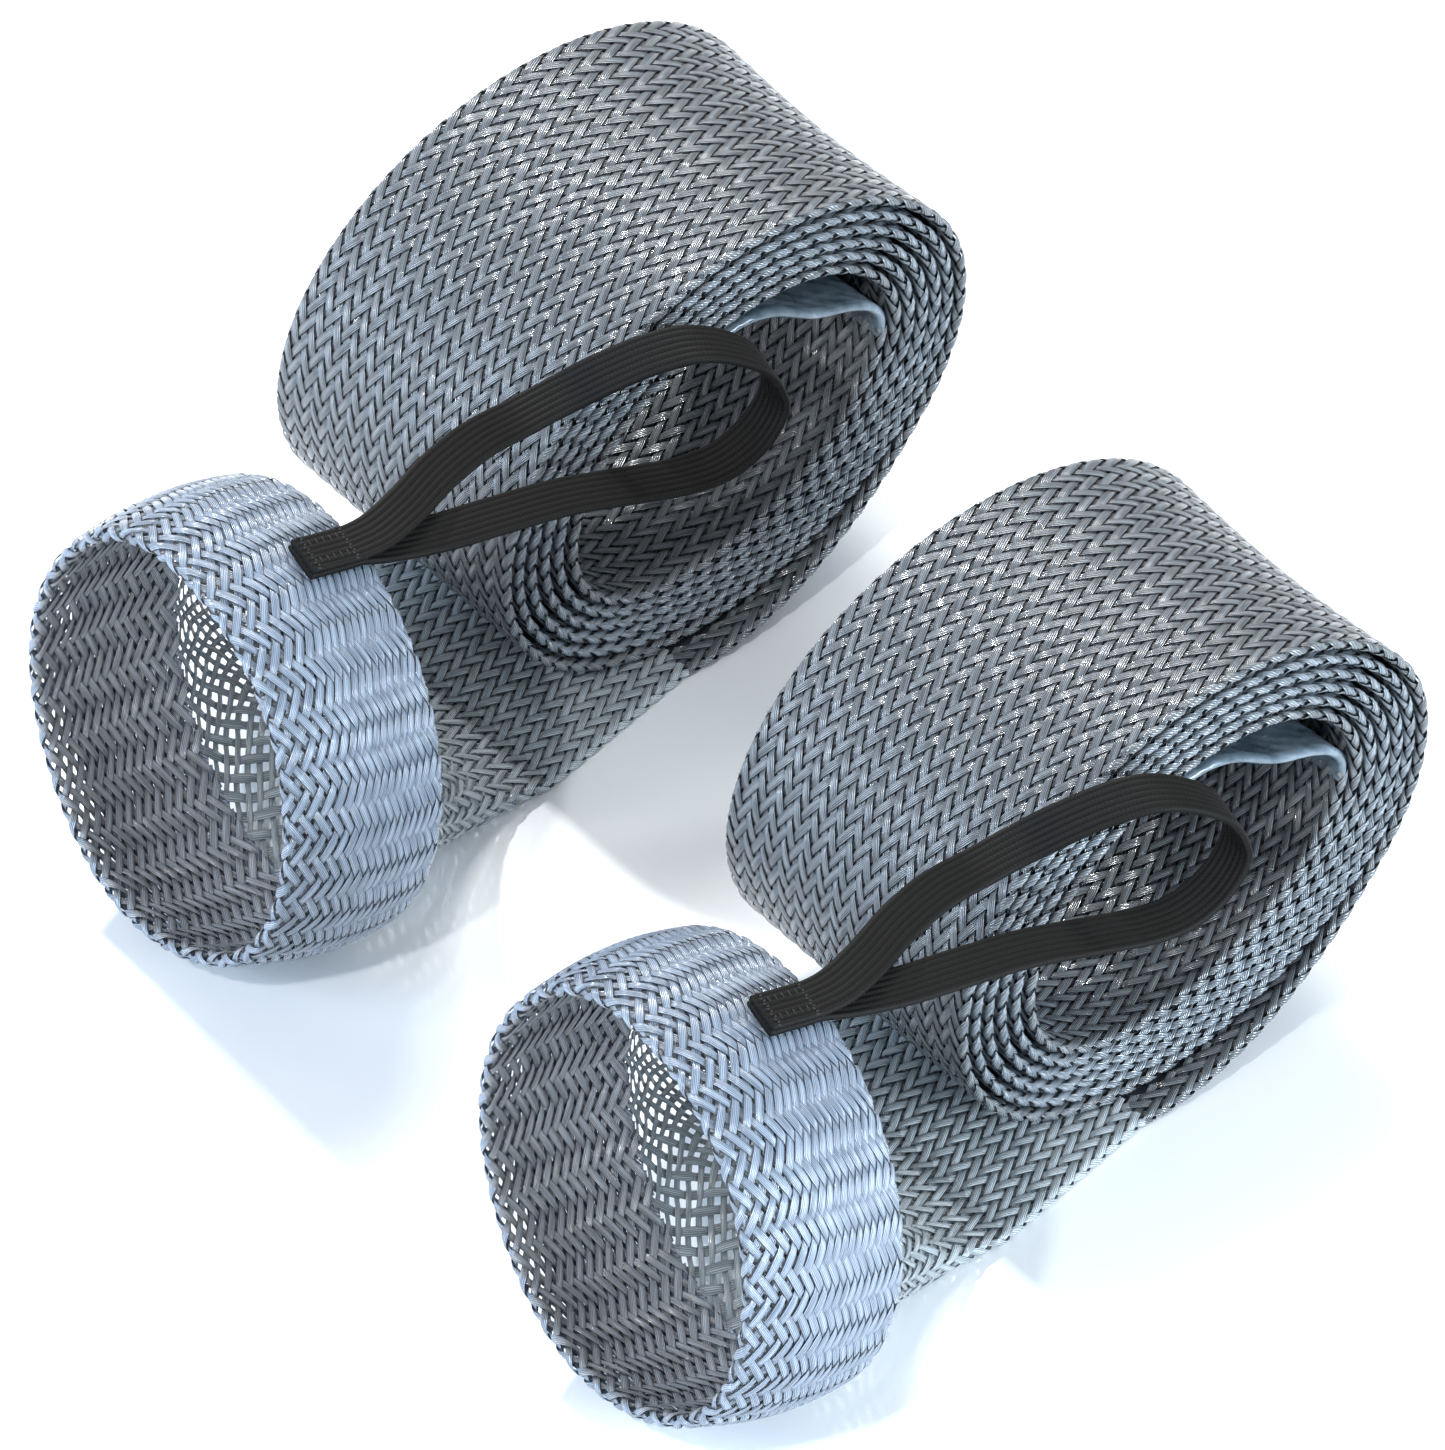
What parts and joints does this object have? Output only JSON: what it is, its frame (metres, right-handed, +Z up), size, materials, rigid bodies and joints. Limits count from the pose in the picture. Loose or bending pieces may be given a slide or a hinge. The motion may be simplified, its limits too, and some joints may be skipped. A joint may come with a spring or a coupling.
{
  "type": "braided mesh sleeve",
  "caption": "Pair of expandable braided mesh sleeves, each wound flat into an oval roll, with a turned-back mouth cuff and a sewn elastic loop.",
  "frame": {"origin": "middle of the underside of the rear sleeve's flat floor run, on the floor", "axes": "+X from the open mouth to the wound roll, +Y along the roll's axis from the front sleeve to the rear one, +Z up"},
  "size_m": [0.1411, 0.1945, 0.0659],
  "materials": {
    "sleeve_braid": "semi-gloss grey-blue monofilament braid",
    "cuff_braid": "semi-gloss pale blue monofilament braid, opened out",
    "sealed_braid": "smooth heat-sealed braid",
    "elastic_webbing": "matt ribbed elastic",
    "sewing_thread": "twisted polyester thread"
  },
  "bodies": {
    "rear_sleeve": {"rear_mouth_cuff": "cuff_braid", "rear_neck": "sleeve_braid", "rear_floor_run": "sleeve_braid", "rear_wound_roll": "sleeve_braid", "rear_sealed_end": "sealed_braid", "rear_sewn_ends": "elastic_webbing", "rear_bar_tack": "sewing_thread"},
    "rear_loop": {"rear_elastic_loop": "elastic_webbing"},
    "front_sleeve": {"front_mouth_cuff": "cuff_braid", "front_neck": "sleeve_braid", "front_floor_run": "sleeve_braid", "front_wound_roll": "sleeve_braid", "front_sealed_end": "sealed_braid", "front_sewn_ends": "elastic_webbing", "front_bar_tack": "sewing_thread"},
    "front_loop": {"front_elastic_loop": "elastic_webbing"}
  },
  "joints": [
    {"name": "front_sleeve_lift", "type": "slide", "parent": "rear_sleeve", "child": "front_sleeve", "axis": [0, 0, 1], "range_m": [0, 0.12]},
    {"name": "rear_loop_lift", "type": "hinge", "parent": "rear_sleeve", "child": "rear_loop", "pos_m": [-0.04685, -0.03263, 0.06249], "axis": [-0.0509, -0.9661, -0.253], "range_deg": [0, 70]},
    {"name": "front_loop_lift", "type": "hinge", "parent": "front_sleeve", "child": "front_loop", "pos_m": [-0.04985, -0.13863, 0.06249], "axis": [-0.0509, -0.9661, -0.253], "range_deg": [0, 70]}
  ]
}
